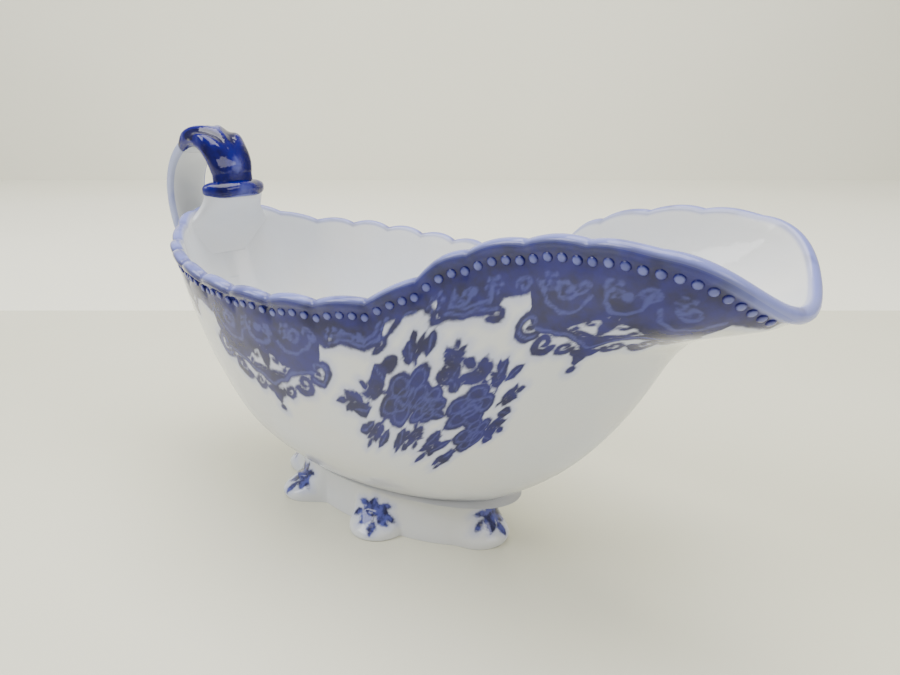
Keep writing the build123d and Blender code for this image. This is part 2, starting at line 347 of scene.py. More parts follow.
def lambrequin(x, y, mid, scale):
    """A hanging panel of scrollwork with a fleuron in its window and a pendant below."""
    u, v = (x - mid) / scale, (y - PANEL_TOP) / scale + PANEL_TOP
    field = under(u, v, [(-22, 6), (-20, 19), (-17, 22.5), (-10, 23.5), (-5, 26), (0, 30.5),
                         (5, 26), (10, 23.5), (17, 22.5), (20, 19), (22, 6)])
    curls = [
        stroke(u, v, volute(-19.5, 19.5, 4.2, 60, 1.2, 1), 1.5, 0.8),
        stroke(u, v, volute(19.5, 19.5, 4.2, 120, 1.2, -1), 1.5, 0.8),
        stroke(u, v, volute(-13.5, 25.6, 3.4, 30, 1.15, 1), 1.35, 0.8),
        stroke(u, v, volute(13.5, 25.6, 3.4, 150, 1.15, -1), 1.35, 0.8),
        stroke(u, v, volute(-6.5, 28.0, 2.4, 20, 1.1, 1), 1.0, 0.6),
        stroke(u, v, volute(6.5, 28.0, 2.4, 160, 1.1, -1), 1.0, 0.6),
        leaf(u, v, 0, 28.0, 7.5, 4.2, 90),
        leaf(u, v, 0, 31.5, 4.6, 3.0, 205), leaf(u, v, 0, 31.5, 4.6, 3.0, -25),
        disc(u, v, 0, 36.6, 1.35),
    ]
    window = union(
        leaf(u, v, -8.8, 21.0, 17.6, 6.6, 0),
        leaf(u, v, 0, 15.5, 9.0, 6.0, 90),
    )
    fleuron = union(
        leaf(u, v, 0, 24.5, 10.5, 3.4, -90),
        stroke(u, v, volute(-3.4, 19.0, 2.7, 20, 1.0, -1), 1.0, 0.5),
        stroke(u, v, volute(3.4, 19.0, 2.7, 160, 1.0, 1), 1.0, 0.5),
        stroke(u, v, [(-6.2, 22.5), (-3.2, 23.2), (0, 24.6), (3.2, 23.2), (6.2, 22.5)], 0.75),
        disc(u, v, -6.8, 21.2, 1.0), disc(u, v, 6.8, 21.2, 1.0),
    )
    ink = union(np.maximum(field, -window), fleuron, *curls)
    lines = union(
        stroke(u, v, volute(-19.5, 19.5, 4.2, 60, 0.9, 1), 0.28),
        stroke(u, v, volute(19.5, 19.5, 4.2, 120, 0.9, -1), 0.28),
        stroke(u, v, [(-20, 9), (-17, 14), (-13, 16.5), (-9, 15.5), (-7, 12)], 0.32),
        stroke(u, v, [(20, 9), (17, 14), (13, 16.5), (9, 15.5), (7, 12)], 0.32),
        stroke(u, v, [(-4.5, 8.4), (-3.8, 13.0), (-1.6, 15.0), (1.6, 15.0), (3.8, 13.0),
                      (4.5, 8.4)], 0.42),
        stroke(u, v, [(-18, 21), (-13, 22), (-9, 22.6), (-5, 25.0), (0, 28.6), (5, 25.0),
                      (9, 22.6), (13, 22), (18, 21)], 0.3),
        stroke(u, v, volute(-13.0, 10.6, 2.6, 0, 1.2, 1), 0.34),
        stroke(u, v, volute(13.0, 10.6, 2.6, 180, 1.2, -1), 0.34),
        disc(u, v, 0, 10.6, 1.1),
    )
    return ink * scale, lines * scale


def bracket(x, y, mid, deep):
    """A small stepped tab between two panels, with a curl at each end."""
    u, v = x - mid, y
    field = under(u, v, [(-9, 7), (-7.5, deep - 4), (-6, deep), (6.5, deep - 1.5), (8, deep - 5),
                         (9, 7)])
    curls = [
        stroke(u, v, volute(-6.4, deep - 0.6, 2.0, 40, 1.1, 1), 1.05, 0.6),
        stroke(u, v, volute(7.6, deep - 3.6, 2.2, 140, 1.1, -1), 1.05, 0.6),
        stroke(u, v, [(-11.5, 8.5), (-9.8, 11), (-8.2, 12)], 1.3, 0.7),
        stroke(u, v, [(11.5, 8.0), (10.5, 10.6), (9.2, 12)], 1.3, 0.7),
    ]
    lines = union(
        stroke(u, v, [(-5.5, 8.0), (-4.6, deep - 3.4), (5.0, deep - 4.6), (4.2, 8.0)], 0.36),
        stroke(u, v, [(-6.4, deep - 1.6), (6.0, deep - 3.0)], 0.3),
        disc(u, v, -0.4, 9.6, 0.9),
    )
    return union(field, *curls), lines


def rosette(x, y, cx, cy, r):
    """A ring of light dots."""
    dots = []
    for k in range(6):
        a = k * math.pi / 3
        dots.append(disc(x, y, cx + r * math.cos(a), cy + r * math.sin(a), 0.46))
    return union(disc(x, y, cx, cy, 0.5), *dots)


def rose(x, y, cx, cy, r, turn):
    """An open rose: overlapping petals with light lines between them, and a dark heart."""
    ink, lines = [disc(x, y, cx, cy, r * 0.8)], []
    for k in range(5):
        a = math.radians(turn + 72 * k)
        px, py = cx + r * 0.62 * math.cos(a), cy + r * 0.62 * math.sin(a)
        ink.append(disc(x, y, px, py, r * 0.52))
        lines.append(np.maximum(np.abs(disc(x, y, px, py, r * 0.34)) - 0.2,
                                -disc(x, y, cx, cy, r * 0.42)))
    for k in range(3):
        a = math.radians(turn + 40 + 120 * k)
        qx, qy = cx + r * 0.16 * math.cos(a), cy + r * 0.16 * math.sin(a)
        lines.append(np.abs(disc(x, y, qx, qy, r * 0.30)) - 0.17)
    return union(*ink), union(*lines)


LEAF_SPREAD = 52            # angle of a sprig's side leaves to its stalk


def sprig(x, y, cx, cy, degrees, length, pairs, width):
    """A stalk with leaves in pairs and one at its tip."""
    c, s = math.cos(math.radians(degrees)), math.sin(math.radians(degrees))
    tip = (cx + length * c, cy + length * s)
    marks = [stroke(x, y, [(cx, cy), tip], 0.42, 0.22),
             leaf(x, y, *tip, width * 2.1, width, degrees)]
    for k in range(pairs):
        at = 0.25 + 0.75 * k / max(pairs, 1)
        px, py = cx + length * c * at, cy + length * s * at
        for hand in (-1, 1):
            marks.append(leaf(x, y, px, py, width * 2.2, width, degrees + hand * LEAF_SPREAD))
    return union(*marks)


def spray(x, y):
    """The rose spray on each side."""
    roses = [rose(x, y, 92.5, 28.5, 7.6, 10), rose(x, y, 71.5, 39.5, 6.4, 50),
             rose(x, y, 66.5, 49.5, 5.6, 0), rose(x, y, 84.5, 35.0, 5.0, 30)]
    leaves = [
        (100.0, 21.0, 6.5, 4.2, -60), (104.0, 27.0, 6.5, 4.2, 10), (103.0, 32.0, 6.0, 3.6, 30),
        (97.0, 37.0, 6.5, 3.6, 60), (92.0, 38.0, 6.5, 3.4, 95), (87.0, 20.0, 6.0, 3.6, -105),
        (91.0, 18.5, 6.5, 3.6, -75), (80.0, 29.5, 5.5, 3.0, -120), (78.0, 44.0, 6.5, 3.4, 60),
        (77.0, 33.0, 5.5, 3.0, -70), (63.0, 33.0, 6.0, 3.6, -150), (66.5, 31.0, 6.0, 3.4, -110),
        (60.0, 44.5, 6.0, 3.4, 170), (60.5, 53.0, 5.5, 3.2, 160), (70.5, 54.0, 6.0, 3.4, 60),
        (73.0, 50.0, 6.5, 3.4, 20), (78.5, 39.5, 6.0, 3.2, -20),
    ]
    sprigs = [
        sprig(x, y, 105.0, 25.5, 0, 7.0, 3, 1.9), sprig(x, y, 90.0, 20.0, -80, 5.5, 2, 2.0),
        sprig(x, y, 70.0, 32.0, -52, 6.0, 2, 2.3), sprig(x, y, 62.0, 48.0, 155, 6.5, 3, 1.9),
        sprig(x, y, 93.0, 39.5, 118, 6.0, 2, 1.9), sprig(x, y, 77.5, 47.0, 62, 6.0, 2, 2.0),
        sprig(x, y, 82.5, 30.0, -128, 4.0, 2, 1.8), sprig(x, y, 99.0, 25.0, -35, 7.5, 4, 1.6),
        sprig(x, y, 80.0, 26.0, -98, 5.5, 3, 1.5), sprig(x, y, 99.0, 33.0, 48, 6.5, 3, 1.6),
        sprig(x, y, 62.0, 41.0, 205, 6.0, 3, 1.6), sprig(x, y, 72.0, 54.0, 82, 5.5, 3, 1.5),
        sprig(x, y, 87.0, 40.0, 100, 6.5, 3, 1.5), sprig(x, y, 65.0, 35.0, -75, 6.0, 3, 1.6),
    ]
    buds = [disc(x, y, 98.4, 17.2, 2.5), disc(x, y, 96.6, 22.5, 1.8)]
    ink = union(*[r[0] for r in roses], *[leaf(x, y, *row) for row in leaves], *sprigs, *buds)
    veins = [leaf(x, y, cx, cy, length * 0.9, 0.42, turn) for cx, cy, length, _, turn in leaves]
    return ink, union(*[r[1] for r in roses], *veins)


ROSETTES = 15
ROSETTE_FIRST = 31.0
ROSETTE_PITCH = 14.2
ROSETTE_DROP = 9.6

# The print wavers a little, as a paper transfer does on a curved wall.
grid_reach = np.broadcast_to(reach, drops.shape)
wobble_x = 0.16 * np.sin(grid_reach * 0.9 + drops * 0.7)
wobble_x += 0.12 * np.sin(grid_reach * 2.3 - drops * 1.7)
wobble_y = 0.16 * np.cos(grid_reach * 0.8 - drops * 0.9)
wobble_y += 0.10 * np.sin(drops * 2.6 + grid_reach * 1.3)
px, py = grid_reach + wobble_x, drops + wobble_y
front_ink, front_lines = lambrequin(px, py, 43.5, 1.03)
rear_ink, rear_lines = lambrequin(px, py, 142.0, 0.95)
tabs = [bracket(px, py, mid, deep)
        for mid, deep in ((80.5, 16.5), (110.5, 13.5), (184.0, 13.5), (213.0, 16.5))]
band = under(px, py, [(10.0, 6.0), (20.0, 8.6), (26.0, 10.5), (60.0, 11.0), (72.0, 12.5),
                      (92.0, 9.0), (100.0, 8.6), (120.0, 10.0), (170.0, 10.0), (250.0, 9.0)])
spray_ink, spray_lines = spray(px - 3.0, py - 2.4)
spray_ink -= 0.25
ink_edge = union(band, front_ink, rear_ink, spray_ink, *[t[0] for t in tabs])
line_marks = [front_lines, rear_lines, spray_lines] + [t[1] for t in tabs]
for k in range(ROSETTES):
    spot = ROSETTE_FIRST + ROSETTE_PITCH * k
    line_marks.append(rosette(px, py, spot + 1.5, ROSETTE_DROP, 1.9))
    curl = volute(spot + 8.0, ROSETTE_DROP, 2.2, 0, 1.1, 1 if k % 2 else -1)
    line_marks.append(stroke(px, py, curl, 0.28))
line_edge = union(*line_marks)

total_rows = shell.shape[0]
ink_rows = np.full((total_rows, ROUND + 1), NO_INK)
line_rows = np.full((total_rows, ROUND + 1), NO_INK)
ink_rows[2:2 + outer_rows] = np.clip(ink_edge[::-1], -NO_INK, NO_INK)
line_rows[2:2 + outer_rows] = np.clip(line_edge[::-1], -NO_INK, NO_INK)

bm = bmesh.new()
bmesh.ops.create_grid(bm, x_segments=ROUND, y_segments=total_rows - 1, size=1.0)
ink_layer = bm.verts.layers.float.new("ink_edge")
line_layer = bm.verts.layers.float.new("line_edge")
drop_layer = bm.verts.layers.float.new("drop")
pinch_layer = bm.verts.layers.float.new("pinch")
reach_layer = bm.verts.layers.float.new("reach")
for v in bm.verts:
    column = round((v.co.x + 1) / 2 * ROUND)
    row = round((v.co.y + 1) / 2 * (total_rows - 1))
    v[ink_layer] = ink_rows[row, column]
    v[line_layer] = line_rows[row, column]
    v[drop_layer] = row_drop[row, column]
    v[pinch_layer] = pinch[column]
    v[reach_layer] = reach[column]
    v.co = Vector(shell[row, column]) * MM
bmesh.ops.remove_doubles(bm, verts=bm.verts, dist=1e-6)
bmesh.ops.recalc_face_normals(bm, faces=bm.faces)


def new_piece(name, bm, material, smooth=True):
    """A finished piece with its place in its mesh."""
    mesh = bpy.data.meshes.new(name)
    for face in bm.faces:
        face.smooth = smooth
    bm.to_mesh(mesh)
    bm.free()
    piece = bpy.data.objects.new(name, mesh)
    bpy.context.scene.collection.objects.link(piece)
    mesh.materials.append(material)
    return piece


class Glaze:
    """Builds one fired finish: node by node, on a Principled shader."""

    def __init__(self, name):
        self.material = bpy.data.materials.new(name)
        self.material.use_nodes = True
        self.tree = self.material.node_tree
        self.shader = self.tree.nodes["Principled BSDF"]
        self.place = self.node("ShaderNodeTexCoord").outputs["Object"]

    def node(self, kind, **settings):
        made = self.tree.nodes.new(kind)
        for key, value in settings.items():
            setattr(made, key, value)
        return made

    def join(self, source, target):
        if isinstance(source, (int, float, tuple)):
            target.default_value = source
        else:
            self.tree.links.new(source, target)

    def attribute(self, name):
        return self.node("ShaderNodeAttribute", attribute_name=name).outputs["Fac"]

    def sum(self, operation, *values):
        made = self.node("ShaderNodeMath", operation=operation)
        for value, socket in zip(values, made.inputs):
            self.join(value, socket)
        return made.outputs[0]

    def between(self, value, low, high, out_low=0.0, out_high=1.0):
        made = self.node("ShaderNodeMapRange", interpolation_type="SMOOTHSTEP")
        for slot_value, socket in zip((value, low, high, out_low, out_high), made.inputs):
            self.join(slot_value, socket)
        return made.outputs[0]

    def noise(self, scale, detail=3.0, roughness=0.55, distortion=0.0):
        made = self.node("ShaderNodeTexNoise")
        self.join(self.place, made.inputs["Vector"])
        made.inputs["Scale"].default_value = scale
        made.inputs["Detail"].default_value = detail
        made.inputs["Roughness"].default_value = roughness
        made.inputs["Distortion"].default_value = distortion
        return made.outputs["Fac"]

    def mix(self, share, first, second, blend="MIX"):
        made = self.node("ShaderNodeMix", data_type="RGBA", blend_type=blend)
        self.join(share, made.inputs["Factor"])
        self.join(first, made.inputs["A"])
        self.join(second, made.inputs["B"])
        return made.outputs["Result"]

    def bump(self, height, distance, strength=1.0):
        made = self.node("ShaderNodeBump")
        self.join(height, made.inputs["Height"])
        made.inputs["Distance"].default_value = distance
        made.inputs["Strength"].default_value = strength
        self.join(made.outputs["Normal"], self.shader.inputs["Normal"])

    def gloss(self, roughness, ior):
        self.shader.inputs["Roughness"].default_value = roughness
        self.shader.inputs["IOR"].default_value = ior


WHITEWARE = (0.71, 0.735, 0.785, 1.0)
WARM_WHITE = (0.735, 0.74, 0.745, 1.0)
BLED = (0.27, 0.32, 0.72, 1.0)
COBALT = (0.0045, 0.0035, 0.150, 1.0)
DEEP_COBALT = (0.0018, 0.0010, 0.050, 1.0)
LIGHT_COBALT = (0.060, 0.072, 0.34, 1.0)
# pale blue of the roll's top: the rim's blue wash lightened as a painted highlight
ROLL_HIGHLIGHT_BLUE = (0.17, 0.20, 0.58, 1.0)
GLAZE_ROUGH = 0.08
GLAZE_IOR = 1.42


def printed_ware(name):
    """White ware with cobalt print bleeding into a glossy glaze."""
    glaze = Glaze(name)
    cloudy = glaze.noise(38.0, 4.0)
    fine = glaze.noise(900.0, 3.0)
    body = glaze.mix(glaze.between(cloudy, 0.35, 0.7), WHITEWARE, WARM_WHITE)
    rough_edge = glaze.sum("MULTIPLY", glaze.sum("SUBTRACT", fine, 0.5), 0.55)
    edge = glaze.sum("ADD", glaze.attribute("ink_edge"), rough_edge)
    halo = glaze.between(edge, 3.0, -0.3)
    ink = glaze.between(edge, 0.5, -0.45)
    lines = glaze.between(glaze.sum("ADD", glaze.attribute("line_edge"), rough_edge), 0.5, -0.3)
    depth = glaze.between(glaze.noise(170.0, 4.0, 0.6), 0.32, 0.68)
    cobalt = glaze.mix(depth, COBALT, DEEP_COBALT)
    cobalt = glaze.mix(glaze.sum("MULTIPLY", lines, 0.62), cobalt, LIGHT_COBALT)
    colour = glaze.mix(glaze.sum("MULTIPLY", halo, 0.42), body, BLED)
    colour = glaze.mix(glaze.sum("MULTIPLY", ink, 0.97), colour, cobalt)
    # The roll of the rim is washed with blue, darkest in the pinches and on its outer side. Its
    # paler top is a painted highlight.
    drop = glaze.attribute("drop")
    on_roll = glaze.sum("MULTIPLY", glaze.between(drop, 4.0, 2.2), glaze.between(drop, -2.2, -0.5))
    outer_side = glaze.between(drop, 0.5, 1.5)
    under_lip = glaze.between(glaze.attribute("reach"), 16.0, 34.0)
    patch = glaze.between(glaze.noise(110.0, 2.0), 0.50, 0.66)
    pooled = glaze.sum("MAXIMUM", glaze.between(glaze.attribute("pinch"), 0.35, 0.95),
                       glaze.sum("MULTIPLY", patch, 0.8))
    roll_blue_and_highlight = glaze.mix(glaze.sum("MULTIPLY", pooled, 0.6), ROLL_HIGHLIGHT_BLUE, COBALT)
    dark_side = glaze.sum("MULTIPLY", glaze.sum("MULTIPLY", outer_side, under_lip), 0.88)
    roll_blue_and_highlight = glaze.mix(dark_side, roll_blue_and_highlight, cobalt)
    colour = glaze.mix(glaze.sum("MULTIPLY", on_roll, 0.92), colour, roll_blue_and_highlight)
    glaze.join(colour, glaze.shader.inputs["Base Color"])
    orange_peel = glaze.sum("MULTIPLY", glaze.noise(420.0, 2.0), 0.12)
    ripple = glaze.sum("ADD", glaze.noise(60.0, 2.0), orange_peel)
    glaze.bump(ripple, 0.0007, 0.6)
    glaze.gloss(GLAZE_ROUGH, GLAZE_IOR)
    return glaze.material


bowl = new_piece("bowl_glazed", bm, printed_ware("printed_whiteware"))
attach(bowl, "root")
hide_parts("bowl")

# ---------------------------------------------------------------------------------------------
# Beads. A row of small raised buttons on each side, moulded in relief under the rolled rim. The
# blue wash runs off their tops and gathers round their feet, so each has a pale crown. The
# crown's paleness is partly this thin glaze and partly a painted highlight.
BEAD_DROP = 4.3
BEAD_STEP = 3.3
BEAD_SIZE = 1.16
BEAD_FIRST = 13.0           # reach of the first bead
BEAD_LAST_GAP = 7.0         # rim left bare at the handle
BEAD_FLAT = 0.42            # height of a bead as a share of its radius
# pale colour of each bead's top: thin glaze and a painted highlight
BEAD_THIN_GLAZE_AND_HIGHLIGHT = (0.15, 0.17, 0.46, 1.0)
HANDLED_ROUGH = 0.09        # a little duller than the bowl's glaze


def bead_row(hand):
    """The beads of one side, as one mesh."""
    row = bmesh.new()
    crown_layer = row.verts.layers.float.new("crown")
    half = ROUND // 2
    for k in range(int((half_rim - BEAD_FIRST - BEAD_LAST_GAP) / BEAD_STEP)):
        place = (BEAD_FIRST + BEAD_STEP * k) / half_rim * half
        column = half - hand * place
        m, part = int(column), column - int(column)
        r = np.argmin(np.abs(drops[:, m] - BEAD_DROP))
        centre = outside[r, m] * (1 - part) + outside[r, m + 1] * part
        normal = Vector(normals[r, m])
        made = bmesh.ops.create_icosphere(row, subdivisions=2, radius=1.0)["verts"]
        turn = normal.to_track_quat("Z", "Y").to_matrix()
        for v in made:
            # height on the bead, painted pale at the top as thin glaze and a painted highlight
            v[crown_layer] = v.co.z - 0.35 * abs(math.hypot(v.co.x, v.co.y) - 0.35)
            shaped = Vector((v.co.x * BEAD_SIZE, v.co.y * BEAD_SIZE,
                             v.co.z * BEAD_SIZE * BEAD_FLAT))
            v.co = (turn @ shaped + Vector(centre)) * MM
    return row


def bead_finish():
    glaze = Glaze("beaded_blue")
    # the bead's top is painted pale: partly thin glaze, partly a painted highlight
    wash = glaze.between(glaze.attribute("crown"), 0.15, 0.8)
    uneven = glaze.between(glaze.noise(240.0, 2.0), 0.2, 0.75, 0.45, 1.0)
    wash = glaze.sum("MULTIPLY", wash, uneven)
    colour = glaze.mix(wash, COBALT, BEAD_THIN_GLAZE_AND_HIGHLIGHT)
    glaze.join(colour, glaze.shader.inputs["Base Color"])
    glaze.bump(glaze.noise(700.0, 2.0), 0.0002, 0.5)
    glaze.gloss(HANDLED_ROUGH, GLAZE_IOR)
    return glaze.material


bead_glaze = bead_finish()
for name, hand in (("beads_near", 1), ("beads_far", -1)):
    beads = new_piece(name + "_glazed", bead_row(hand), bead_glaze)
    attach(beads, "root")
    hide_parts(name)

# ---------------------------------------------------------------------------------------------
# Foot. A low flared skirt, pressed separately and joined to the bowl with slip: a narrow oval
# with six rounded lobes, one at each end and two on each side. It is hollow underneath and has a
# small printed sprig on each lobe.
FOOT_ROUND = 360
SPRIG_LOW, SPRIG_HIGH = 1.0, 12.4       # heights between which the foot is printed
# x, y and radius of each lobe
LOBES = [(33.2, 0.0, 8.6), (-36.4, 0.0, 8.4), (8.5, -15.6, 8.0), (8.5, 15.6, 8.0),
         (-23.5, -13.6, 8.0), (-23.5, 13.6, 8.0)]


def foot_outline(angles, oval, lobes, soft):
    """Radius of the lobed outline at each angle, with soft corners between the lobes."""
    a, b = oval
    radii = [a * b / np.sqrt((b * np.cos(angles)) ** 2 + (a * np.sin(angles)) ** 2)]
    for x, y, r in lobes:
        centre, bearing = math.hypot(x, y), math.atan2(y, x)
        across = centre * np.sin(angles - bearing)
        reach_in = np.sqrt(np.maximum(r * r - across ** 2, 0))
        front = centre * np.cos(angles - bearing)
        radii.append(np.where((np.abs(across) < r) & (front > 0), front + reach_in, 0))
    outline = np.maximum.reduce(radii)
    for _ in range(soft):
        outline = (np.roll(outline, 1) + 2 * outline + np.roll(outline, -1)) / 4
    return outline


ring_angles = np.linspace(0, 2 * math.pi, FOOT_ROUND + 1)[:-1]
base_edge = foot_outline(ring_angles, (37.6, 16.6), LOBES, 4)
waist_edge = foot_outline(ring_angles, (36.6, 16.2), [], 1)
hollow = foot_outline(ring_angles, (33.4, 12.4), [(x, y, r - 4.2) for x, y, r in LOBES], 8)

foot_rows = []
# share of the way from the waist outline to the base outline, and height in mm
for share, height in (
    (-0.30, 14.6), (-0.14, 13.2), (0.0, 11.8), (0.05, 10.4), (0.10, 9.1), (0.18, 7.8),
    (0.29, 6.5), (0.43, 5.3), (0.60, 4.2), (0.77, 3.3), (0.91, 2.5), (0.985, 1.8), (1.0, 1.2),
    (0.995, 0.7), (0.975, 0.25), (0.94, 0.0),
):
    edge = waist_edge + (base_edge - waist_edge) * share
    if share < 0:
        edge = waist_edge * (1 - share * 0.8)
    foot_rows.append((edge, height))
for edge_share, height in ((0.6, 0.0), (0.25, 0.3), (0.0, 1.2), (-0.02, 3.0), (-0.05, 5.0),
                           (-0.09, 6.2)):
    foot_rows.append((hollow + (base_edge - hollow) * edge_share, height))
for scale, height in ((0.82, 6.8), (0.5, 7.0), (0.0, 7.1)):
    foot_rows.append((hollow * scale, height))
foot_rows = [(np.zeros(FOOT_ROUND), 14.6)] + foot_rows

bm = bmesh.new()
bmesh.ops.create_grid(bm, x_segments=FOOT_ROUND, y_segments=len(foot_rows) - 1, size=1.0)
ink_layer = bm.verts.layers.float.new("ink_edge")
for v in bm.verts:
    column = round((v.co.x + 1) / 2 * FOOT_ROUND) % FOOT_ROUND
    row = round((v.co.y + 1) / 2 * (len(foot_rows) - 1))
    radius, height = foot_rows[row][0][column], foot_rows[row][1]
    x, y = radius * math.cos(ring_angles[column]), radius * math.sin(ring_angles[column])
    v.co = Vector((x, y, height)) * MM
bmesh.ops.remove_doubles(bm, verts=bm.verts, dist=1e-6)
bmesh.ops.subdivide_edges(bm, edges=bm.edges, cuts=1, use_grid_fill=True)
bmesh.ops.recalc_face_normals(bm, faces=bm.faces)
for v in bm.verts:
    x, y, z = v.co / MM
    v[ink_layer] = NO_INK
    if SPRIG_LOW < z < SPRIG_HIGH:
        marks = []
        for lobe_x, lobe_y, _ in LOBES:
            bearing = math.atan2(lobe_y, lobe_x)
            if abs(lobe_y) > 0:
                bearing = math.copysign(math.radians(74 if lobe_x > 0 else 112), lobe_y)
            across = np.array([-x * math.sin(bearing) + y * math.cos(bearing)])
            across -= -lobe_x * math.sin(bearing) + lobe_y * math.cos(bearing)
            ahead = (x - lobe_x) * math.cos(bearing) + (y - lobe_y) * math.sin(bearing)
            if ahead > -5.0 and abs(across[0]) < 9.0:
                down = np.array([12.5 - z + 0.5 * ahead])
                marks.append(sprig(across, down, 0.4, 3.4, 84, 6.2, 3, 2.5)[0])
                marks.append(leaf(across, down, 0.0, 3.0, 7.0, 4.4, 96)[0])
                marks.append(sprig(across, down, -0.6, 5.0, 140, 3.2, 1, 1.9)[0])
                marks.append(sprig(across, down, 1.0, 5.0, 38, 3.4, 1, 1.9)[0])
        if marks:
            v[ink_layer] = min(marks)


def plain_ware(name, printed):
    """White ware under a clear glaze, with printed sprigs where asked."""
    glaze = Glaze(name)
    body = glaze.mix(glaze.between(glaze.noise(40.0, 4.0), 0.35, 0.7), WHITEWARE, WARM_WHITE)
    if printed:
        rough_edge = glaze.sum("MULTIPLY", glaze.sum("SUBTRACT", glaze.noise(900.0), 0.5), 1.2)
        edge = glaze.sum("ADD", glaze.attribute("ink_edge"), rough_edge)
        body = glaze.mix(glaze.between(edge, 2.6, -0.2, 0.0, 0.4), body, BLED)
        cobalt = glaze.mix(glaze.between(glaze.noise(420.0), 0.35, 0.65), LIGHT_COBALT,
                           DEEP_COBALT)
        body = glaze.mix(glaze.between(edge, 0.6, -0.4, 0.0, 0.95), body, cobalt)
    glaze.join(body, glaze.shader.inputs["Base Color"])
    glaze.bump(glaze.noise(70.0, 2.0), 0.0007, 0.6)
    glaze.gloss(GLAZE_ROUGH, GLAZE_IOR)
    return glaze.material


foot = new_piece("foot_glazed", bm, plain_ware("sprigged_whiteware", True))
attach(foot, "root")
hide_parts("foot")

# ---------------------------------------------------------------------------------------------
# Handle strap. A flat band of clay, bent into a loop and stuck to the rear wall with slip. Its
# inner face is plain white; its edges and back are washed with blue that thins to lilac.
# The middle of the band, in (x, z), from the rear wall over the top and down to the collar.
HANDLE_LINE = np.array([
    (-74.6, 56.2), (-85.5, 60.2), (-92.6, 68.0), (-97.4, 78.0), (-98.6, 88.5), (-95.4, 97.2),
    (-89.0, 103.2), (-81.5, 106.0), (-74.8, 103.6), (-70.8, 98.0), (-69.8, 91.0),
])
HANDLE_JOIN = 0.68          # share of the line at which the leaf takes over from the strap
BAND_HALF = 7.0             # half the width of the band
LILAC = (0.40, 0.44, 0.68, 1.0)
STRAP_BLUE = (0.16, 0.19, 0.54, 1.0)
STRAP_WHITE = (0.62, 0.65, 0.70, 1.0)
line_length = along(HANDLE_LINE)
line_share = line_length / line_length[-1]


def handle_station(share):
    """Point and unit direction of the handle's centre line."""
    near = np.array([share - 0.002, share, share + 0.002])
    points = smooth_curve(line_share, HANDLE_LINE, np.clip(near, 0, 1))
    direction = points[2] - points[0]
    return points[1], direction / np.linalg.norm(direction)


def band_mesh(start, end, stations, around, section, layers):
    """A band along the handle line. section(share, angle) gives (across, outward, extras)."""
    bm = bmesh.new()
    bmesh.ops.create_grid(bm, x_segments=around, y_segments=stations + 1, size=1.0)
    made = [bm.verts.layers.float.new(name) for name in layers]
    for v in bm.verts:
        column = round((v.co.x + 1) / 2 * around) % around
        row = round((v.co.y + 1) / 2 * (stations + 1))
        part = (np.clip(row, 1, stations) - 1) / (stations - 1)
        share = start + (end - start) * part
        point, direction = handle_station(share)
        across, out, extras = section(share, 2 * math.pi * column / around)
        if row in (0, stations + 1):
            across, out = 0.0, 0.0
        side = np.array([-direction[1], direction[0]])
        place = point + side * out
        v.co = Vector((place[0], across, place[1])) * MM
        for layer, value in zip(made, extras):
            v[layer] = value
    bmesh.ops.remove_doubles(bm, verts=bm.verts, dist=1e-6)
    bmesh.ops.recalc_face_normals(bm, faces=bm.faces)
    return bm


def squared(angle, half_wide, half_thick, power):
    """A point on a rounded oblong section."""
    c, s = math.cos(angle), math.sin(angle)
    return (half_wide * math.copysign(abs(c) ** power, c),
            half_thick * math.copysign(abs(s) ** power, s))


def strap_section(share, angle):
    flare = math.exp(-((share / 0.10) ** 2))
    across, out = squared(angle, BAND_HALF + 1.6 * flare, 2.6 + 0.9 * flare, 0.55)
    if out > 0:
        out += 0.35 * math.cos(across / BAND_HALF * math.pi)
    inner = 1.0 if (out < -1.2 and abs(across) < 5.8) else 0.0
    return across, out, (inner,)


def strap_finish():
    glaze = Glaze("lilac_edged_whiteware")
    inner = glaze.attribute("inner")
    wash = glaze.between(glaze.noise(55.0, 3.0), 0.35, 0.7)
    outer = glaze.mix(wash, LILAC, STRAP_BLUE)
    plain = glaze.mix(glaze.between(glaze.noise(40.0), 0.4, 0.7), WHITEWARE, STRAP_WHITE)
    glaze.join(glaze.mix(glaze.between(inner, 0.15, 0.85), outer, plain),
               glaze.shader.inputs["Base Color"])
    glaze.bump(glaze.noise(90.0, 2.0), 0.0006, 0.6)
    glaze.gloss(HANDLED_ROUGH, GLAZE_IOR)
    return glaze.material


strap = new_piece("handle_strap_glazed",
                  band_mesh(0.0, HANDLE_JOIN, 90, 64, strap_section, ["inner"]), strap_finish())
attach(strap, "root")
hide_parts("handle_strap")

# ---------------------------------------------------------------------------------------------
# Handle leaf. The top and front of the loop, pressed in a mould as a long leaf whose folds run
# over the top of the handle, with a small raised jewel low on its front. It is washed dark
# cobalt that breaks to pale blue on every ridge.
LEAF_END = 1.0
RIDGE_BLUE = (0.16, 0.18, 0.55, 1.0)
LEAF_WHITE = (0.60, 0.63, 0.70, 1.0)
COBALT_IOR = 1.45


def leaf_section(share, angle):
    part = (share - HANDLE_JOIN) / (LEAF_END - HANDLE_JOIN)
    swell = math.sin(math.pi * min(1.0, part * 1.15)) ** 0.7 if part > 0 else 0.0
    across, out = squared(angle, BAND_HALF + 1.1 * swell, 2.7 + 0.7 * swell, 0.6)
    crest = 0.0
    if out > 0:
        folds = math.sin((abs(across) * 0.55 + part * 15.0) * 1.25)
        ease = math.exp(-((part - 0.25) / 0.32) ** 2)
        midrib = math.exp(-(across / 1.1) ** 2)
        jewel = math.exp(-((part - 0.80) / 0.085) ** 2 - (across / 2.6) ** 2)
        out += 0.75 * folds * ease * (1 - midrib) + 0.9 * midrib * (1 - part) + 1.0 * jewel
        crest = max(-1.0, min(1.0, folds * ease + midrib * (1 - part) + 1.2 * jewel))
    elif abs(across) > 5.4:
        crest = 0.55
    return across, out, (crest, 1.0 if out < -1.4 and abs(across) < 6.0 else 0.0)


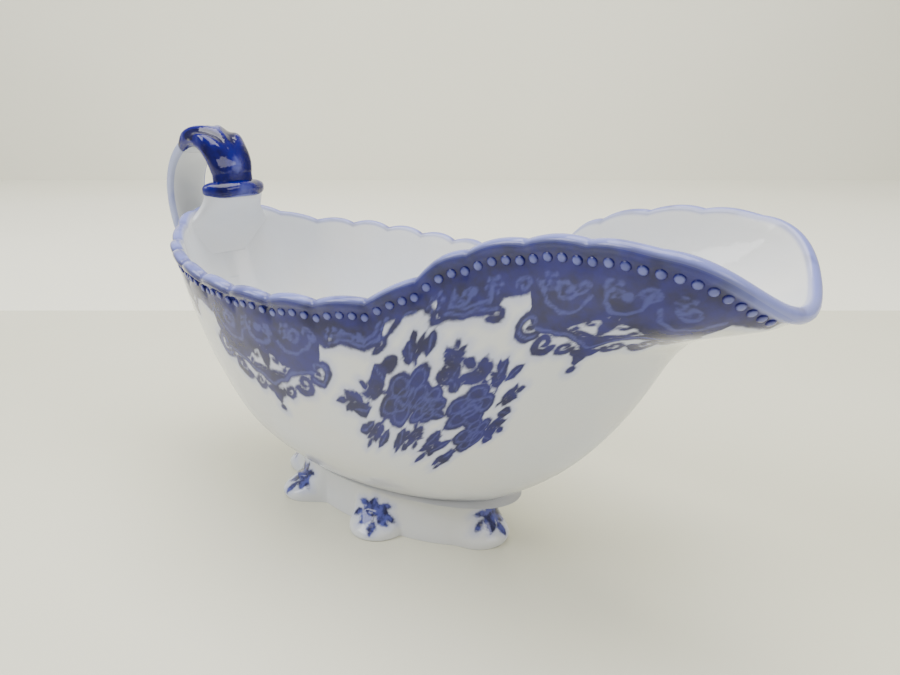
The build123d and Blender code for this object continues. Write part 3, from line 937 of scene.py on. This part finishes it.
def relief_finish(name, under_white):
    """Dark cobalt wash over relief, pale on the ridges."""
    glaze = Glaze(name)
    crest = glaze.sum("ADD", glaze.attribute("crest"),
                      glaze.sum("MULTIPLY", glaze.sum("SUBTRACT", glaze.noise(260.0), 0.5), 0.8))
    colour = glaze.mix(glaze.between(crest, -0.25, 0.35), DEEP_COBALT, COBALT)
    colour = glaze.mix(glaze.between(crest, 0.5, 1.1, 0.0, 0.5), colour, RIDGE_BLUE)
    if under_white:
        plain = glaze.between(glaze.attribute("inner"), 0.2, 0.9)
        colour = glaze.mix(plain, colour, LEAF_WHITE)
    glaze.join(colour, glaze.shader.inputs["Base Color"])
    glaze.bump(glaze.noise(160.0, 3.0), 0.0006, 0.6)
    glaze.gloss(GLAZE_ROUGH, COBALT_IOR)
    return glaze.material


leaf_glaze = relief_finish("cobalt_leaf", True)
handle_leaf = new_piece("handle_leaf_glazed",
                        band_mesh(HANDLE_JOIN, LEAF_END, 110, 96, leaf_section, ["crest", "inner"]),
                        leaf_glaze)
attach(handle_leaf, "root")
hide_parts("handle_leaf")

# ---------------------------------------------------------------------------------------------
# Handle collar. A thick moulded ring of lapping leaves, between the leaf and the neck.
collar_low, collar_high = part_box("handle_collar")
collar_mid = (collar_low + collar_high) / 2 / MM
collar_half = (collar_high - collar_low) / 2 / MM
COLLAR_ROUND = 144
COLLAR_ROWS = 22
bm = bmesh.new()
bmesh.ops.create_grid(bm, x_segments=COLLAR_ROUND, y_segments=COLLAR_ROWS, size=1.0)
crest_layer = bm.verts.layers.float.new("crest")
inner_layer = bm.verts.layers.float.new("inner")
for v in bm.verts:
    turn = math.pi * (v.co.x + 1)
    tilt = math.pi / 2 * v.co.y
    lap = math.cos(turn * 4) * 0.5 + 0.5
    fullness = abs(math.cos(tilt)) ** 0.55
    swell = 1.0 + 0.07 * lap * math.cos(tilt)
    x = collar_mid.x + collar_half.x * 0.92 * fullness * swell * math.cos(turn)
    y = collar_half.y * 0.9 * fullness * swell * math.sin(turn)
    sag = -1.3 * (1 - lap) * math.cos(tilt) ** 2
    rise = math.copysign(abs(math.sin(tilt)) ** 0.7, v.co.y)
    z = collar_mid.z + collar_half.z * rise + sag * 0.5
    v[crest_layer] = lap * math.cos(tilt) * 0.9 - 0.1 + (0.7 if -0.75 < v.co.y < -0.35 else 0.0)
    v[inner_layer] = 1.0 if v.co.y < -0.72 else 0.0
    v.co = Vector((x, y, z)) * MM
bmesh.ops.remove_doubles(bm, verts=bm.verts, dist=1e-6)
bmesh.ops.recalc_face_normals(bm, faces=bm.faces)
collar = new_piece("handle_collar_glazed", bm, leaf_glaze)
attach(collar, "root")
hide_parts("handle_collar")

# ---------------------------------------------------------------------------------------------
# Handle neck. The rear of the rim is drawn up into a short flat stem that carries the collar.
# It is plain white like the inside of the bowl, and flows into the rim on each side.
NECK_ROUND = 96
NECK_LEVELS = np.array([
    # height, centre x, half depth, half width
    (68.0, -77.2, 1.4, 17.0), (73.0, -77.4, 1.8, 17.4), (77.0, -77.0, 2.4, 16.6),
    (80.0, -75.6, 2.9, 14.6), (82.5, -73.6, 3.3, 12.4), (85.0, -71.6, 3.6, 11.2),
    (88.0, -70.2, 4.0, 10.6), (90.5, -69.8, 4.2, 10.4),
])
NECK_ROWS = 44
bm = bmesh.new()
bmesh.ops.create_grid(bm, x_segments=NECK_ROUND, y_segments=NECK_ROWS, size=1.0)
for v in bm.verts:
    turn = math.pi * (v.co.x + 1)
    row = round((v.co.y + 1) / 2 * NECK_ROWS)
    height = NECK_LEVELS[0, 0] + (NECK_LEVELS[-1, 0] - NECK_LEVELS[0, 0]) \
        * np.clip(row - 1, 0, NECK_ROWS - 2) / (NECK_ROWS - 2)
    centre, deep, wide = smooth_curve(NECK_LEVELS[:, 0], NECK_LEVELS[:, 1:],
                                      np.array([height]))[0]
    if row in (0, NECK_ROWS):
        deep = wide = 0.0
    across, out = squared(turn, wide, deep, 0.75)
    hug = 0.010 * across ** 2 * float(step(4.0, 81.0 - height))
    v.co = Vector((centre + out + hug, across, height)) * MM
bmesh.ops.remove_doubles(bm, verts=bm.verts, dist=1e-6)
bmesh.ops.recalc_face_normals(bm, faces=bm.faces)
neck = new_piece("handle_neck_glazed", bm, plain_ware("plain_whiteware", False))
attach(neck, "root")
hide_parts("handle_neck")

# ---------------------------------------------------------------------------------------------
# Table, wall and light. A pale glossy table that ends a little behind the object, a cream sheet
# level with it beyond its edge and a cream wall behind, under soft window light.
low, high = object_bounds()


def plain_sheet(name, corners, material):
    """A flat four-cornered surface that isn't part of the object."""
    bm = bmesh.new()
    bm.faces.new([bm.verts.new(c) for c in corners])
    sheet = new_piece(name, bm, material, smooth=False)
    return sheet


table = Glaze("pale_table")
table_colour = table.mix(table.between(table.noise(3.0, 3.0), 0.3, 0.7), (0.70, 0.69, 0.56, 1.0),
                         (0.74, 0.73, 0.61, 1.0))
table.join(table_colour, table.shader.inputs["Base Color"])
table.gloss(0.22, 1.45)

wall_paint = Glaze("cream_wall")
wall_colour = wall_paint.mix(wall_paint.between(wall_paint.noise(2.0, 2.0), 0.3, 0.7),
                             (0.85, 0.84, 0.73, 1.0), (0.88, 0.87, 0.77, 1.0))
wall_paint.join(wall_colour, wall_paint.shader.inputs["Base Color"])
wall_paint.gloss(0.6, 1.45)

TABLE_END = 0.424           # from the camera to the table's far edge, in m
WALL_AWAY = 1.3             # and to the wall
SHEET = 3                   # the sheets reach this far, well out of view
VIEW_ANGLE = 39.1           # the camera looks this far round from the near side, in degrees
VIEW_TILT = 17.2            # and this far down
CAMERA_AT = Vector((141.3, -145.9, 114.3)) * MM
LENS = 29.2
turn = math.radians(VIEW_ANGLE)
tilt = math.radians(VIEW_TILT)
ahead = Vector((-math.sin(turn), math.cos(turn), 0))
sideways = Vector((math.cos(turn), math.sin(turn), 0))
ground = Vector((CAMERA_AT.x, CAMERA_AT.y, 0))
edge = ground + ahead * TABLE_END
front = ground - ahead * SHEET
back = ground + ahead * WALL_AWAY
across = sideways * SHEET
rise = Vector((0, 0, SHEET))
plain_sheet("table", [front - across, front + across, edge + across, edge - across],
            table.material)
plain_sheet("ledge", [edge - across, edge + across, back + across, back - across],
            wall_paint.material)
plain_sheet("wall", [back - across, back + across, back + across + rise, back - across + rise],
            wall_paint.material)


def window(name, where, aim, size, power, colour):
    """A soft rectangular light."""
    data = bpy.data.lights.new(name, "AREA")
    data.shape = "RECTANGLE"
    data.size, data.size_y = size
    data.energy = power
    data.color = colour
    lamp = bpy.data.objects.new(name, data)
    bpy.context.scene.collection.objects.link(lamp)
    lamp.location = where
    lamp.rotation_euler = (Vector(aim) - Vector(where)).to_track_quat("-Z", "Y").to_euler()


centre = Vector(((low[0] + high[0]) / 2, 0, 0.06))
window("ceiling_light", centre + Vector((0, 0.1, 1.3)), centre,
       (1.3, 1.0), 30.0, (1.0, 0.985, 0.93))
window("window_light", centre - sideways * 0.9 - ahead * 0.3 + Vector((0, 0, 0.9)), centre,
       (0.7, 0.7), 13.0, (0.97, 0.98, 1.0))
window("fill_light", centre + sideways * 1.0 - ahead * 0.7 + Vector((0, 0, 0.6)), centre,
       (0.8, 0.6), 6.0, (1.0, 0.98, 0.94))

world = bpy.data.worlds.new("room")
bpy.context.scene.world = world
world.use_nodes = True
world.node_tree.nodes["Background"].inputs["Color"].default_value = (0.96, 0.95, 0.90, 1.0)
world.node_tree.nodes["Background"].inputs["Strength"].default_value = 0.42

camera_data = bpy.data.cameras.new("camera")
camera_data.sensor_width = 36.0
camera_data.lens = LENS
camera_data.clip_start = 0.01
camera = bpy.data.objects.new("camera", camera_data)
bpy.context.scene.collection.objects.link(camera)
camera.location = CAMERA_AT
look = ahead * math.cos(tilt) - Vector((0, 0, math.sin(tilt)))
camera.rotation_euler = look.to_track_quat("-Z", "Y").to_euler()
bpy.context.scene.camera = camera
